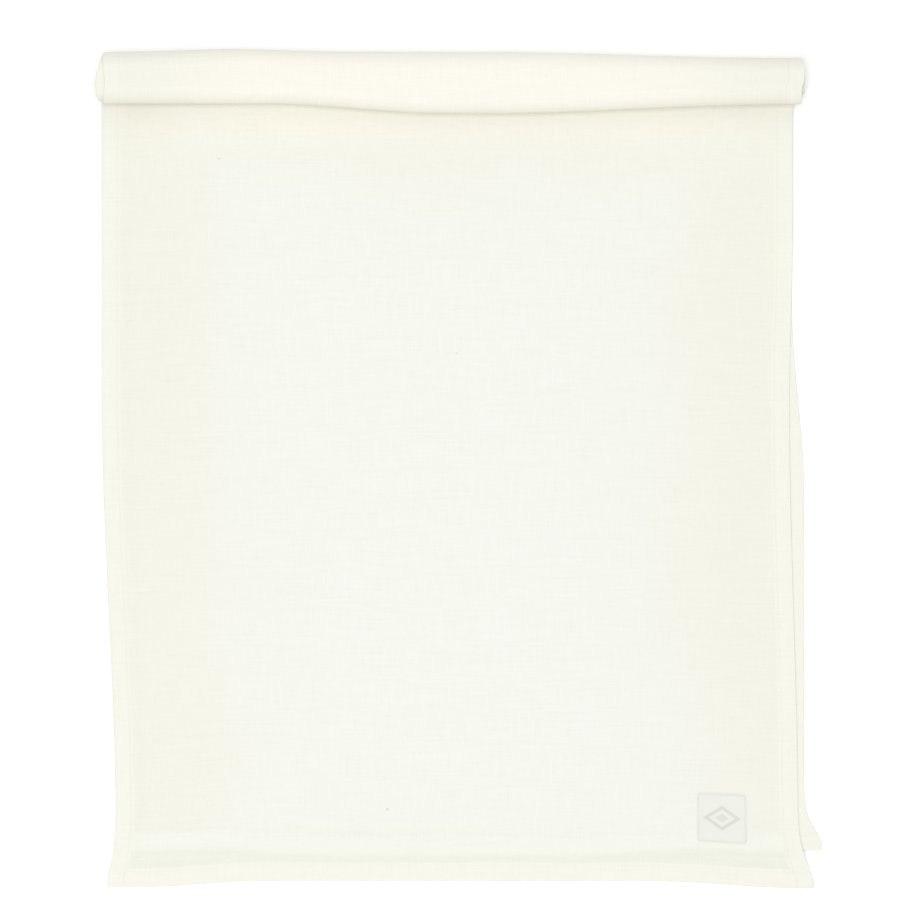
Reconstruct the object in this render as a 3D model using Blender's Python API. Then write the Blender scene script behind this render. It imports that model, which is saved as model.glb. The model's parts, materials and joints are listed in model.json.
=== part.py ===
"""Table runner: one hemmed length of linen, doubled over and part rolled up.

The cloth is folded across its middle with its hems turned to the inside, and laid flat. The
doubled end is then rolled back over the front leaf into a soft, flattened roll.

Frame: metres, +Z up. The runner lies on the plane z = 0 and is centred on x = 0 and y = 0. Its
free ends point to -Y, the roll lies along its +Y edge, and its width is along X.

Both layers follow one mid-line, drawn in the YZ plane. A layer's section is a polygon of
(distance across the cloth, distance from the mid-line), carried along the mid-line's stations.
Where the roll starts and where the front leaf starts to lift, the same cloth is parted into
nodes, so that each body of the motion has its own pieces.
"""

import math

import bmesh
import bpy
from mathutils import Vector

# Cloth, metres
CLOTH_WIDTH = 0.450
CLOTH_LENGTH = 1.500
CLOTH_THICKNESS = 0.00035
LAYER_GAP = 0.0003

# Hems: two thicknesses turned on to the reverse, and the line of stitches that holds them
HEM_WIDTH = 0.012
HEM_THICKNESS = 0.0007
HEM_EDGE_ROUND = 0.0002
STITCH_INSET = 0.0018
STITCH_WIDTH = 0.0006
STITCH_THICKNESS = 0.0002
STITCH_SIDE_GAP = 0.0003
STITCH_FLOOR_GAP = 0.00025

# Roll: half circles joined by straight runs, wound from the outside in
ROLL_HEIGHT = 0.024
ROLL_RUN = 0.01865
ROLL_TAIL = 0.011
ARC_STEPS = 8
FOLD_STEPS = 6

# Leaves: how far the front one reaches past the back one, how far each slips sideways on its
# way from the middle fold to its free end, and the room between the roll and the lifted leaf
END_STEP = 0.025
BACK_SLIP = 0.018
FRONT_SLIP = 0.006
LIFT_CLEARANCE = 0.001

# Label: a woven square stitched to the front leaf, near its right-hand free corner
LABEL_SIZE = 0.033
LABEL_THICKNESS = 0.00035
LABEL_CORNER = 0.0015
LABEL_FROM_END = 0.0465
LABEL_FROM_SIDE = 0.052
LABEL_STITCH_INSET = 0.0015

# What follows from those values
STACK = 2 * (CLOTH_THICKNESS + HEM_THICKNESS) + 3 * LAYER_GAP
PITCH = STACK + LAYER_GAP
ROLL_RADIUS = ROLL_HEIGHT / 2
OUTER_TURN = ROLL_RADIUS - STACK / 2
HEM_FACE = LAYER_GAP / 2
CLOTH_FACE = HEM_FACE + HEM_THICKNESS + LAYER_GAP
HALF_FOLD = math.pi / 2 * (CLOTH_FACE + CLOTH_THICKNESS / 2)

LINEN = (0.90, 0.90, 0.81)
LINEN_HEM = (0.92, 0.93, 0.85)
THREAD = (0.88, 0.87, 0.79)
LABEL_CLOTH = (0.78, 0.79, 0.74)
LABEL_THREAD = (0.66, 0.66, 0.62)


def arc(centre_y, centre_z, radius, start):
    """Stations round half a turn, anticlockwise from the angle start, with outward normals."""
    stations = []
    for i in range(ARC_STEPS + 1):
        angle = start + math.pi * i / ARC_STEPS
        c, s = math.cos(angle), math.sin(angle)
        stations.append((centre_y + radius * c, centre_z + radius * s, c, s))
    return stations


def wind_roll():
    """The roll's mid-line about its axis: the outer turn's stations, then the rest inwards.

    A station is (y, z, normal y, normal z). Arcs on the right turn about the axis, and arcs on
    the left about a point half a pitch higher, so the layers stay one pitch apart all the way
    in. Winding stops when the next arc would be too tight for the doubled cloth.
    """
    outer = arc(0.0, 0.0, OUTER_TURN, -math.pi / 2)
    inner = [(-LAYER_GAP, OUTER_TURN, 0.0, 1.0)]
    radius = OUTER_TURN
    while True:
        if radius < PITCH:
            travel = -1.0
            break
        inner += arc(-ROLL_RUN, PITCH / 2, radius - PITCH / 2, math.pi / 2)
        radius -= PITCH
        if radius < PITCH / 2:
            travel = 1.0
            break
        inner += arc(0.0, 0.0, radius, -math.pi / 2)
    y, z, across, up = inner[-1]
    inner.append((y + travel * ROLL_TAIL, z, across, up))
    return outer, inner, travel


def run_lengths(stations):
    """Distance along the stations from the first one to each."""
    lengths = [0.0]
    for (y0, z0, *_), (y1, z1, *_) in zip(stations, stations[1:]):
        lengths.append(lengths[-1] + math.hypot(y1 - y0, z1 - z0))
    return lengths


OUTER, INNER, TAIL_TRAVEL = wind_roll()
INNER_LENGTH = run_lengths(INNER)[-1] + LAYER_GAP
ROLLED_LENGTH = math.pi * OUTER_TURN + INNER_LENGTH
FLAT_LENGTH = CLOTH_LENGTH / 2 - HALF_FOLD - ROLLED_LENGTH
FRONT_FLAT = FLAT_LENGTH + END_STEP / 2
BACK_FLAT = FLAT_LENGTH - END_STEP / 2
FRONT_REACH = HALF_FOLD + ROLLED_LENGTH + FRONT_FLAT
BACK_REACH = HALF_FOLD + ROLLED_LENGTH + BACK_FLAT

AXIS_Y = (FRONT_FLAT - ROLL_RADIUS) / 2
AXIS_Z = ROLL_RADIUS
ROLL_FRONT_Y = AXIS_Y - ROLL_RUN - (ROLL_RADIUS - PITCH / 2)
LIFT_Y = ROLL_FRONT_Y - LIFT_CLEARANCE
MIDDLE_X = -BACK_SLIP / 2


def slip(back, length):
    """Sideways place of a layer's centre line, at a length from the middle fold."""
    if back:
        return MIDDLE_X + BACK_SLIP * length / BACK_REACH
    return MIDDLE_X + FRONT_SLIP * length / FRONT_REACH


def place(back, y, z, normal, length):
    """One station in the model's frame: its origin, its direction across, and its normal."""
    origin = Vector((slip(back, length), AXIS_Y + y, AXIS_Z + z))
    return origin, Vector((1.0, 0.0, 0.0)), Vector((0.0, *normal))


def flat_stations(back, start_y, end_y):
    """Two stations of a flat layer, from and to a distance in front of the roll's axis."""
    side = -1.0 if back else 1.0
    return [
        place(back, -d, -OUTER_TURN, (0.0, side), HALF_FOLD + ROLLED_LENGTH + d)
        for d in (start_y, end_y)
    ]


def turn_stations(back):
    """Stations of the outer half turn, where the doubled cloth goes up and over."""
    side = 1.0 if back else -1.0
    start = HALF_FOLD + ROLLED_LENGTH
    turned = math.pi * OUTER_TURN / ARC_STEPS
    return [
        place(back, y, z, (side * ny, side * nz), start - turned * i)
        for i, (y, z, ny, nz) in enumerate(OUTER)
    ]


def roll_stations():
    """The roll's hairpin: in along the back layer, round the middle fold, out along the front."""
    lengths = run_lengths(INNER)
    inwards = [HALF_FOLD + lengths[-1] - s for s in lengths]
    stations = [
        place(True, y, z, (ny, nz), s) for (y, z, ny, nz), s in zip(INNER, inwards)
    ]
    y, z, _, up = INNER[-1]
    for i in range(1, FOLD_STEPS):
        angle = math.pi * i / FOLD_STEPS
        normal = (TAIL_TRAVEL * math.sin(angle), up * math.cos(angle))
        length = HALF_FOLD * abs(1.0 - 2.0 * i / FOLD_STEPS)
        stations.append(place(angle < math.pi / 2, y, z, normal, length))
    stations += [
        place(False, y, z, (-ny, -nz), s)
        for (y, z, ny, nz), s in reversed(list(zip(INNER, inwards)))
    ]
    return stations


def end_stations(back):
    """Two stations across a free end, between the side hems, with the profile turned inwards."""
    flat, reach, slipped = (
        (BACK_FLAT, BACK_REACH, BACK_SLIP) if back else (FRONT_FLAT, FRONT_REACH, FRONT_SLIP)
    )
    origin, _, normal = flat_stations(back, flat, flat)[0]
    inwards = Vector((-slipped / reach, 1.0, 0.0))
    half = CLOTH_WIDTH / 2 - HEM_WIDTH - LAYER_GAP
    return [(origin + Vector((x, 0.0, 0.0)), inwards, normal) for x in (-half, half)]


def cloth_profile():
    """Section of one layer of cloth across the whole width."""
    half, low, high = CLOTH_WIDTH / 2, CLOTH_FACE, CLOTH_FACE + CLOTH_THICKNESS
    return [(-half, low), (half, low), (half, high), (-half, high)]


def hem_profile():
    """Section of a hem from its outer edge inwards, with a groove where the stitches sink."""
    low, high, r = HEM_FACE, HEM_FACE + HEM_THICKNESS, HEM_EDGE_ROUND
    middle = HEM_WIDTH - STITCH_INSET
    near = middle - STITCH_WIDTH / 2 - STITCH_SIDE_GAP
    far = middle + STITCH_WIDTH / 2 + STITCH_SIDE_GAP
    floor = low + STITCH_THICKNESS + STITCH_FLOOR_GAP
    return [
        (r, low), (near, low), (near, floor), (far, floor), (far, low),
        (HEM_WIDTH - r, low), (HEM_WIDTH, low + r), (HEM_WIDTH, high - r),
        (HEM_WIDTH - r, high), (r, high), (0.0, high - r), (0.0, low + r),
    ]


def stitch_profile():
    """Section of the line of stitches, flush with the hem's face, inside the hem's groove."""
    middle, low = HEM_WIDTH - STITCH_INSET, HEM_FACE
    half, mid, high = STITCH_WIDTH / 2, low + STITCH_THICKNESS / 2, low + STITCH_THICKNESS
    return [
        (middle - half * 2 / 3, low), (middle + half * 2 / 3, low), (middle + half, mid),
        (middle + half * 2 / 3, high), (middle - half * 2 / 3, high), (middle - half, mid),
    ]


def from_side(profile, right):
    """A hem's profile moved to the cloth's left or right edge."""
    half = CLOTH_WIDTH / 2
    return [(half - u if right else u - half, e) for u, e in profile]


def material(name, colour, roughness):
    """A plain Principled material."""
    made = bpy.data.materials.new(name)
    made.use_nodes = True
    shader = made.node_tree.nodes["Principled BSDF"]
    shader.inputs["Base Color"].default_value = (*colour, 1.0)
    shader.inputs["Roughness"].default_value = roughness
    shader.inputs["Metallic"].default_value = 0.0
    return made


def pivot(name, x, y, z):
    """An empty that the pieces of one body hang from, on that body's joint axis."""
    empty = bpy.data.objects.new(name, None)
    empty.empty_display_size = 0.02
    empty.location = (x, y, z)
    bpy.context.scene.collection.objects.link(empty)
    return empty


def sweep(name, profile, stations, parent, look, closed=False):
    """Carries a closed profile through the stations as one solid, with flat caps if not closed."""
    mesh = bpy.data.meshes.new(name)
    bm = bmesh.new()
    base = parent.location
    rings = [
        [bm.verts.new(origin + across * u + normal * e - base) for u, e in profile]
        for origin, across, normal in stations
    ]
    pairs = list(zip(rings, rings[1:] + rings[:1])) if closed else list(zip(rings, rings[1:]))
    for ring, following in pairs:
        for i in range(len(profile)):
            j = (i + 1) % len(profile)
            bm.faces.new((ring[i], ring[j], following[j], following[i]))
    if not closed:
        bm.faces.new(rings[0])
        bm.faces.new(rings[-1])
    bmesh.ops.recalc_face_normals(bm, faces=bm.faces)
    bm.to_mesh(mesh)
    bm.free()
    if len(stations) > 2:
        mesh.shade_smooth()
        mesh.set_sharp_from_angle(angle=math.radians(35))
    mesh.materials.append(look)
    made = bpy.data.objects.new(name, mesh)
    made.parent = parent
    bpy.context.scene.collection.objects.link(made)
    return made


def layer(prefix, stations, parent):
    """The cloth, two side hems and two lines of stitches that follow the same stations."""
    sweep(
        f"{prefix}_cloth", cloth_profile(), stations, parent,
        material(f"{prefix}_linen", LINEN, 0.9),
    )
    for side, right in (("left", False), ("right", True)):
        sweep(
            f"{prefix}_hem_{side}", from_side(hem_profile(), right), stations, parent,
            material(f"{prefix}_hem_linen_{side}", LINEN_HEM, 0.9),
        )
        sweep(
            f"{prefix}_seam_{side}", from_side(stitch_profile(), right), stations, parent,
            material(f"{prefix}_thread_{side}", THREAD, 0.8),
        )


def end_hem(prefix, back, parent):
    """The hem across a free end and its line of stitches."""
    stations = end_stations(back)
    sweep(
        f"{prefix}_hem_end", hem_profile(), stations, parent,
        material(f"{prefix}_hem_linen_end", LINEN_HEM, 0.9),
    )
    sweep(
        f"{prefix}_seam_end", stitch_profile(), stations, parent,
        material(f"{prefix}_thread_end", THREAD, 0.8),
    )


def label(parent):
    """The label and the stitches round it, on the front leaf's upper face."""
    end_origin, _, up = flat_stations(False, FRONT_FLAT, FRONT_FLAT)[0]
    centre = end_origin + Vector((CLOTH_WIDTH / 2 - LABEL_FROM_SIDE, LABEL_FROM_END, 0.0))
    low = CLOTH_FACE + CLOTH_THICKNESS + LAYER_GAP
    high = low + LABEL_THICKNESS
    half, cut = LABEL_SIZE / 2, LABEL_SIZE / 2 - LABEL_CORNER
    outline = [
        (cut, -half), (half, -cut), (half, cut), (cut, half),
        (-cut, half), (-half, cut), (-half, -cut), (-cut, -half),
    ]
    across, along = Vector((1.0, 0.0, 0.0)), Vector((0.0, 1.0, 0.0))
    sweep(
        "label_patch", outline,
        [(centre + up * e, across, along) for e in (low, high)],
        parent, material("label_weave", LABEL_CLOTH, 0.8),
    )
    inset = half - LABEL_STITCH_INSET
    base = high + LAYER_GAP
    w, t = STITCH_WIDTH / 2, STITCH_THICKNESS
    section = [(-w, base), (w, base), (w * 0.5, base + t), (-w * 0.5, base + t)]
    corners = [(1, -1), (1, 1), (-1, 1), (-1, -1)]
    sweep(
        "label_seam", section,
        [
            (centre + Vector((x * inset, y * inset, 0.0)), Vector((x, y, 0.0)), up)
            for x, y in corners
        ],
        parent, material("label_thread", LABEL_THREAD, 0.8), closed=True,
    )


def main():
    """Clears the scene and builds the runner, body by body."""
    for old in list(bpy.data.objects):
        bpy.data.objects.remove(old, do_unlink=True)

    lying = pivot("back_leaf_base", MIDDLE_X, AXIS_Y, 0.0)
    lifting = pivot("front_leaf_hinge", MIDDLE_X, LIFT_Y, STACK)
    turning = pivot("roll_axis", MIDDLE_X, AXIS_Y, AXIS_Z)
    lift_distance = AXIS_Y - LIFT_Y

    layer("back_leaf", flat_stations(True, LAYER_GAP, BACK_FLAT), lying)
    end_hem("back_leaf", True, lying)
    layer("under_roll", flat_stations(False, LAYER_GAP, lift_distance), lying)
    layer("back_turn", turn_stations(True), lying)
    layer("front_turn", turn_stations(False), lying)
    layer("front_leaf", flat_stations(False, lift_distance + LAYER_GAP, FRONT_FLAT), lifting)
    end_hem("front_leaf", False, lifting)
    label(lifting)
    layer("roll", roll_stations(), turning)


if __name__ == "__main__":
    main()
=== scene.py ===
"""Looks of the folded and rolled linen table runner.

The cloth is worked out as one surface, in metres, from two cloth coordinates: a runs across it from
its left edge, and q runs along it from its middle fold, negative on the back leaf and positive on the
front leaf. Every cloth, hem, stitch and label is placed through that surface, so they stay together.
"""

import json
import logging
import math
from collections.abc import Iterable
from dataclasses import dataclass
from enum import Enum
from functools import cached_property

import bpy
import numpy as np
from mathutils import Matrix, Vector


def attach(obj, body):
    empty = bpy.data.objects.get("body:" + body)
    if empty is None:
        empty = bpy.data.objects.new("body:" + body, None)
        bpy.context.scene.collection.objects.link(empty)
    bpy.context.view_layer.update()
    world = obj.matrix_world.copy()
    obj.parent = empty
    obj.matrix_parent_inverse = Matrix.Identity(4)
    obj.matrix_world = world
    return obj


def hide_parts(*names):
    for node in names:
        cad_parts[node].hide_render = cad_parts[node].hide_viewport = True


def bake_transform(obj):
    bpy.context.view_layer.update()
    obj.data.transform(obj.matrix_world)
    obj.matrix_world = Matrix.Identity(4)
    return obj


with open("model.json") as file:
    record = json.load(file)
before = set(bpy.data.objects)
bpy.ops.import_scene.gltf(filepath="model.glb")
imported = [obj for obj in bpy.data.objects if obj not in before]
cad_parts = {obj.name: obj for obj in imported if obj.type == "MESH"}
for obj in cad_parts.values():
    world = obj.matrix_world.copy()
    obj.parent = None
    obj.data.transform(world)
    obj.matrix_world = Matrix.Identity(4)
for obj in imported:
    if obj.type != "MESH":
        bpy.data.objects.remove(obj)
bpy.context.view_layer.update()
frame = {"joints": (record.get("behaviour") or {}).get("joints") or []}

log = logging.getLogger("table_runner")
MM = 0.001
UV_SHIFT = 0.8  # keeps the lengthwise cloth coordinate positive in the UV map
Array = np.ndarray
Pair = tuple[Array, Array]
Triple = tuple[float, float, float]
Material, Object = bpy.types.Material, bpy.types.Object
Node, NodeTree, Socket = bpy.types.Node, bpy.types.NodeTree, bpy.types.NodeSocket


class Side(Enum):
    """A side edge of the cloth."""

    LEFT = "left"
    RIGHT = "right"


class Leaf(Enum):
    """A half of the cloth, with the sign of its lengthwise coordinate."""

    BACK = -1
    FRONT = 1

    @property
    def word(self) -> str:
        """Its name in the pieces' names."""
        return self.name.lower()

    @property
    def body(self) -> str:
        """The body that it belongs to."""
        return f"{self.word}_leaf"


def ramp(x: Array, low: float, high: float) -> Array:
    """Smooth step from 0 at low to 1 at high: three t squared less two t cubed."""
    t = np.clip((x - low) / (high - low), 0.0, 1.0)
    return t * t * (3.0 - 2.0 * t)


def rise(x: Array, low: float, high: float) -> Array:
    """The same smooth step, with low and high in millimetres."""
    return ramp(x, low * MM, high * MM)


def hump(x: Array, middle: float, spread: float) -> Array:
    """Bell curve, e to the minus ((x - middle) / spread) squared, with both in millimetres."""
    return np.exp(-(((x - middle * MM) / (spread * MM)) ** 2))


def graded(start: float, stop: float, coarse: float, spots: list[Triple]) -> Array:
    """Stations that crowd together near the spots.

    The wanted step is coarse far away and each spot's own step at its middle. The stations are where
    the running integral of one over the step passes equal shares.

    Args:
        start: First station.
        stop: Last station.
        coarse: Step away from the spots.
        spots: For each spot its middle, its reach and its step.

    Returns:
        The stations, rising from start to stop.
    """
    fine = np.linspace(start, stop, 6000)
    step = np.full_like(fine, coarse)
    for middle, reach, wanted in spots:
        far = ramp(np.abs(fine - middle), reach * 0.7, reach * 1.3)
        step = np.minimum(step, wanted + (coarse - wanted) * far)
    rate = 1.0 / step
    total = np.concatenate([[0.0], np.cumsum(np.diff(fine) * 0.5 * (rate[1:] + rate[:-1]))])
    count = max(2, int(round(total[-1])) + 1)
    return np.interp(np.linspace(0.0, total[-1], count), total, fine)


@dataclass(frozen=True)
class Cloth:
    """Sizes of the sewn cloth."""

    width: float = 450 * MM
    thickness: float = 0.40 * MM
    hem_width: float = 12 * MM
    hem_thickness: float = 0.80 * MM
    ease: float = 0.02 * MM
    nose: float = 0.50 * MM
    stitch_inset: float = 1.8 * MM
    drape: float = 6.5 * MM

    @property
    def face(self) -> float:
        """Height of the cloth's outer face over its middle."""
        return self.thickness / 2

    @property
    def hem_high(self) -> float:
        """Height of the hem's face that lies against the cloth."""
        return -(self.face + self.ease)

    @property
    def hem_low(self) -> float:
        """Height of the hem's free face."""
        return self.hem_high - self.hem_thickness

    def columns(self) -> Array:
        """Stations across the cloth, close together over the hems."""
        low, high = self.nose, self.width - self.nose
        reach = self.hem_width + 1.2 * self.drape
        return graded(low, high, 6 * MM, [(low, reach, 1.1 * MM), (high, reach, 1.1 * MM)])


@dataclass(frozen=True)
class Course:
    """Mid-line of the doubled cloth in the YZ plane, from the middle fold out to the free ends.

    It is a spiral of half circles joined by straight runs, and then flat. Outwards it turns
    clockwise. Its normal points away from the roll's axis, to the back leaf's side.
    """

    axis_y: float
    axis_z: float
    stack: float = 3.0 * MM
    pitch: float = 3.3 * MM
    run: float = 18.65 * MM
    tail: float = 11.0 * MM
    offset: float = 1.3 * MM

    @property
    def half_fold(self) -> float:
        """Half the length of the cloth's turn round the middle fold."""
        return math.pi / 2 * self.offset

    @cached_property
    def rows(self) -> Array:
        """One row for each piece outwards: start, radius or 0, first angle, y, z, length.

        It is gathered inwards, as the roll was wound, and turned round. y and z are an arc's centre
        or a straight run's inner end. The angle is that of the outward normal.
        """
        y, z, up = self.axis_y, self.axis_z, math.pi / 2
        far, raised = y - self.run, z + self.pitch / 2
        radius = z - self.stack / 2
        inwards: list[tuple[float, float, float, float, float]] = []
        while True:
            inwards.append((radius, up, y, z, math.pi * radius))
            inwards.append((0.0, up, far, z + radius, self.run))
            left = radius - self.pitch / 2
            inwards.append((left, 3 * up, far, raised, math.pi * left))
            radius -= self.pitch
            if radius < self.pitch / 2:
                inwards.append((0.0, -up, far + self.tail, z - radius, self.tail))
                break
            inwards.append((0.0, -up, y, z - radius, self.run))
        table = np.array(inwards[::-1])
        starts = self.half_fold + np.concatenate([[0.0], np.cumsum(table[:-1, 4])])
        return np.column_stack([starts, table])

    @property
    def turn(self) -> tuple[float, float]:
        """Distances from the middle fold at which the outer turn starts and ends."""
        last = self.rows[-1]
        return float(last[0]), float(last[0] + last[5])

    def end_at(self, y: float) -> float:
        """Distance from the middle fold of a flat point at y."""
        return self.turn[1] + self.axis_y - y

    def at(self, q: Array) -> tuple[Array, Array, Array, Array]:
        """Mid-line point, and the direction from it to the layer of cloth, at signed distances q.

        On a half circle the point is the centre plus the radius along an angle that falls with the
        distance. On a straight run it goes along the clockwise tangent. At the middle fold the point
        stays, and the direction swings half a turn from the back layer to the front one.

        Args:
            q: Signed distances along the cloth from its middle fold.

        Returns:
            y, z and the direction's y and z, each of q's shape.
        """
        table = self.rows
        d = np.maximum(np.abs(q), self.half_fold)
        i = np.clip(np.searchsorted(table[:, 0], d, side="right") - 1, 0, len(table) - 1)
        start, radius, first, y0, z0 = (table[i, k] for k in range(5))
        along, bent = d - start, radius > 0
        angle = first - np.where(bent, along / np.where(bent, radius, 1.0), 0.0)
        c, s = np.cos(angle), np.sin(angle)
        y = y0 + np.where(bent, radius * c, along * s)
        z = z0 + np.where(bent, radius * s, -along * c)
        flat = d > self.turn[1]
        y = np.where(flat, self.axis_y - (d - self.turn[1]), y)
        z = np.where(flat, self.stack / 2, z)
        c, s = np.where(flat, 0.0, c), np.where(flat, -1.0, s)
        swing = np.clip(q / self.half_fold, -1.0, 1.0) * math.pi / 2
        over, on = -np.sin(swing), np.cos(swing)
        return y, z, c * over - s * on, s * over + c * on


@dataclass(frozen=True)
class Lie:
    """How the cloth lies: its outline, its slip from layer to layer, and its height everywhere."""

    cloth: Cloth
    course: Course
    front_y: float = -270 * MM
    back_y: float = -247.4 * MM
    mouth_y: float = 233 * MM

    @property
    def front_end(self) -> float:
        """Lengthwise coordinate of the front leaf's free end."""
        return self.course.end_at(self.front_y)

    @property
    def back_end(self) -> float:
        """Lengthwise coordinate of the back leaf's free end."""
        return -self.course.end_at(self.back_y)

    def inset(self, leaf: Leaf, distance: Array) -> Array:
        """Lengthwise coordinate at a distance inside a leaf's free end."""
        return (self.front_end if leaf is Leaf.FRONT else self.back_end) - leaf.value * distance

    def leaf_edges(self, y: Array, front: Array) -> Pair:
        """Left and right edge of the flat leaves: slow smooth steps, with the corners flared out.

        Args:
            y: Places along the leaf.
            front: True for the front leaf.

        Returns:
            The X of the left edge and of the right edge.
        """
        front_left = -233.1 + 9.1 * rise(-y, -50, 230)
        front_right = 215 + 2.2 * rise(y, 46, 170) + 5.6 * rise(-y, -46, 230)
        back_left = -231 + 8.5 * rise(-y, -60, 200)
        back_right = 224.6 - 7.8 * rise(y, -13, 112) - 2.0 * rise(y, 112, 233)
        return MM * np.where(front, front_left, back_left), MM * np.where(front, front_right, back_right)

    def roll_edges(self, d: Array, front: Array) -> Pair:
        """Left and right edge inside the roll, where windings and layers have slipped past each other.

        Args:
            d: Distances from the middle fold.
            front: True for the front leaf's layer, the inner one.

        Returns:
            The X of the left edge and of the right edge.
        """
        outer = rise(d, 150, 171)
        middle = MM * (-1.5 - 5.9 * rise(d, 70, 92) + 3.3 * outer)
        slipped = MM * np.where(front, -4.4 * hump(d, 177, 23), 1.6 * hump(d, 180, 15))
        half = self.cloth.width / 2 + 1.8 * MM * outer
        lower_corner = np.maximum(rise(d, 138, 154) - outer, 0.0)
        notched = MM * (4.2 * lower_corner - 1.6 * hump(d, 171, 9))
        return middle - half + slipped, middle + half + np.minimum(slipped, 0.0) + notched

    def inside(self, edge: Array) -> Array:
        """1 over a hem, and falling to 0 on either side of it, where the cloth drapes off it."""
        width, drape = self.cloth.hem_width, self.cloth.drape
        return ramp(edge, -drape, 0.0) * (1.0 - ramp(edge, width, width + drape))

    def own_hem(self, a: Array, to_end: Array) -> Array:
        """1 where the cloth has its own hem behind it, falling to 0 inside the hem."""
        edge = np.minimum(np.minimum(a, self.cloth.width - a), to_end)
        return 1.0 - ramp(edge, self.cloth.hem_width, self.cloth.hem_width + self.cloth.drape)

    def ripple(self, x: Array, y: Array) -> Array:
        """Slow swells of a cloth smoothed by hand: a few long crossing waves.

        Args:
            x: Places across.
            y: Places along.

        Returns:
            Heights from 0 to 1.
        """
        wave = 0.30 * np.sin(41 * x + 19 * y + 0.4) * np.sin(23 * y - 12 * x + 1.1)
        wave += 0.24 * np.sin(68 * x - 33 * y + 2.3) + 0.20 * np.sin(57 * y + 9 * x + 0.7)
        wave += 0.16 * np.sin(97 * x + 61 * y + 1.9) * np.sin(83 * y - 31 * x)
        return 0.5 + 0.5 * np.clip(wave / 0.9, -1.0, 1.0)

    def bow(self, x: Array, flat_y: Array, front: Array) -> Array:
        """Shift along Y that bows the roll and the free ends, as smooth steps across the width.

        The roll's shift fades out along the leaf, and the free end's grows as the cube of the way.

        Args:
            x: Places across.
            flat_y: Places along the straight leaf.
            front: True for the front leaf.

        Returns:
            The shifts.
        """
        axis_y = self.course.axis_y
        rolled = -2.7 + 2.0 * hump(x, -145, 45) - 4.0 * rise(x, 20, 215)
        front_end = 2.5 - 3.9 * rise(-x, 130, 205) - 4.8 * rise(x, 120, 225)
        back_end = -4.5 * rise(x, -190, -60) * (1.0 - rise(x, 60, 190))
        reach = np.clip((axis_y - flat_y) / (axis_y - self.front_y), 0.0, 1.0)
        return MM * (rolled * (1.0 - reach) + np.where(front, front_end, back_end) * reach**3)

    def front_height(self, x: Array, y: Array, a: Array, to_end: Array) -> Array:
        """Height of the front leaf's middle over the floor.

        It is half the cloth, plus its own hem where it has one, plus what is under it: the floor,
        the back leaf, or the back leaf's hems. Swells are added where it lies loose.

        Args:
            x: Places across.
            y: Places along.
            a: Cloth coordinate across.
            to_end: Cloth distance to the free end.

        Returns:
            Heights of the middle of the cloth.
        """
        c = self.cloth
        behind = np.zeros(x.shape, bool)
        left, right = self.leaf_edges(y, behind)
        own = self.own_hem(a, to_end)
        back_y = self.back_y + self.bow(x, np.full(x.shape, self.back_y), behind)
        inwards = (x - left, right - x, y - back_y)
        over = math.prod(ramp(edge, -c.drape, 0.0) for edge in inwards)
        hems = np.maximum.reduce([self.inside(edge) for edge in inwards]) * over
        resting = c.face + over * c.thickness + (own + hems) * (c.hem_thickness + c.ease)
        loose = (1.0 - own) * rise(to_end, 14, 60)
        swell = 0.12 + loose * (0.15 + 0.85 * self.ripple(x, y))
        pinch = 0.35 * loose * hump(y - self.mouth_y, -12, 9) * (0.4 + 0.6 * np.sin(55 * x + 1.0) ** 2)
        near_end = 0.35 * (1.0 - rise(to_end, 12, 40)) * rise(to_end, 1, 16) * np.sin(47 * x + 0.9) ** 2
        return resting + MM * (swell + pinch + near_end)

    def place(self, a: Array, q: Array, e: Array) -> Array:
        """Points of the cloth in the model's frame.

        Args:
            a: Coordinate across the cloth, from its left edge.
            q: Coordinate along it, from its middle fold, negative on the back leaf.
            e: Height over the middle of the cloth towards its outer face.

        Returns:
            An array of points, with X, Y and Z last.
        """
        a, q, e = np.broadcast_arrays(np.asarray(a, float), np.asarray(q, float), np.asarray(e, float))
        c, course = self.cloth, self.course
        d, front = np.abs(q), q > 0
        y, z, to_y, to_z = course.at(q)
        end = course.turn[1]

        flat_y = course.axis_y - np.maximum(d - end, 0.0)
        left_f, right_f = self.leaf_edges(flat_y, front)
        left_r, right_r = self.roll_edges(d, front)
        rolled = 1.0 - rise(d - end, -6, 26)
        left = left_f + (left_r - left_f) * rolled
        right = right_f + (right_r - right_f) * rolled
        flare_right = np.where(front, 10.9 * hump(flat_y, -272.5, 25), 11.5 * hump(flat_y, -245.5, 17))
        flare_left = np.where(front, 6.0 * hump(flat_y, -270.5, 22), 0.0)
        flare = flare_right * rise(a - c.width, -46, 0) - flare_left * (1.0 - rise(a, 0, 46))
        x = left + (right - left) * a / c.width + MM * flare

        # The roll is a little shallower at its ends, a little lower in its middle, and it bows.
        in_roll = 1.0 - rise(d - end, -1, 24)
        shallow = 0.40 - 0.33 * rise(x, -125, -10) + 0.52 * rise(x, 20, 212) - 0.107 * hump(x, -145, 45)
        shallow = shallow * (1.0 - rise(d - end, -0.1, 0))
        y = y + np.where(d < end, np.clip(course.axis_y - y, 0.0, course.run) * shallow, 0.0)
        low = 0.86 + 0.14 * (1.0 - rise(x, -228, -160) + rise(x, 165, 222))
        low = low - 0.025 * np.sin(31 * x + 0.5) * rise(np.abs(x), 220, 150)
        z = np.where(d < end, course.stack / 2 + (z - course.stack / 2) * low, z)

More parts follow.
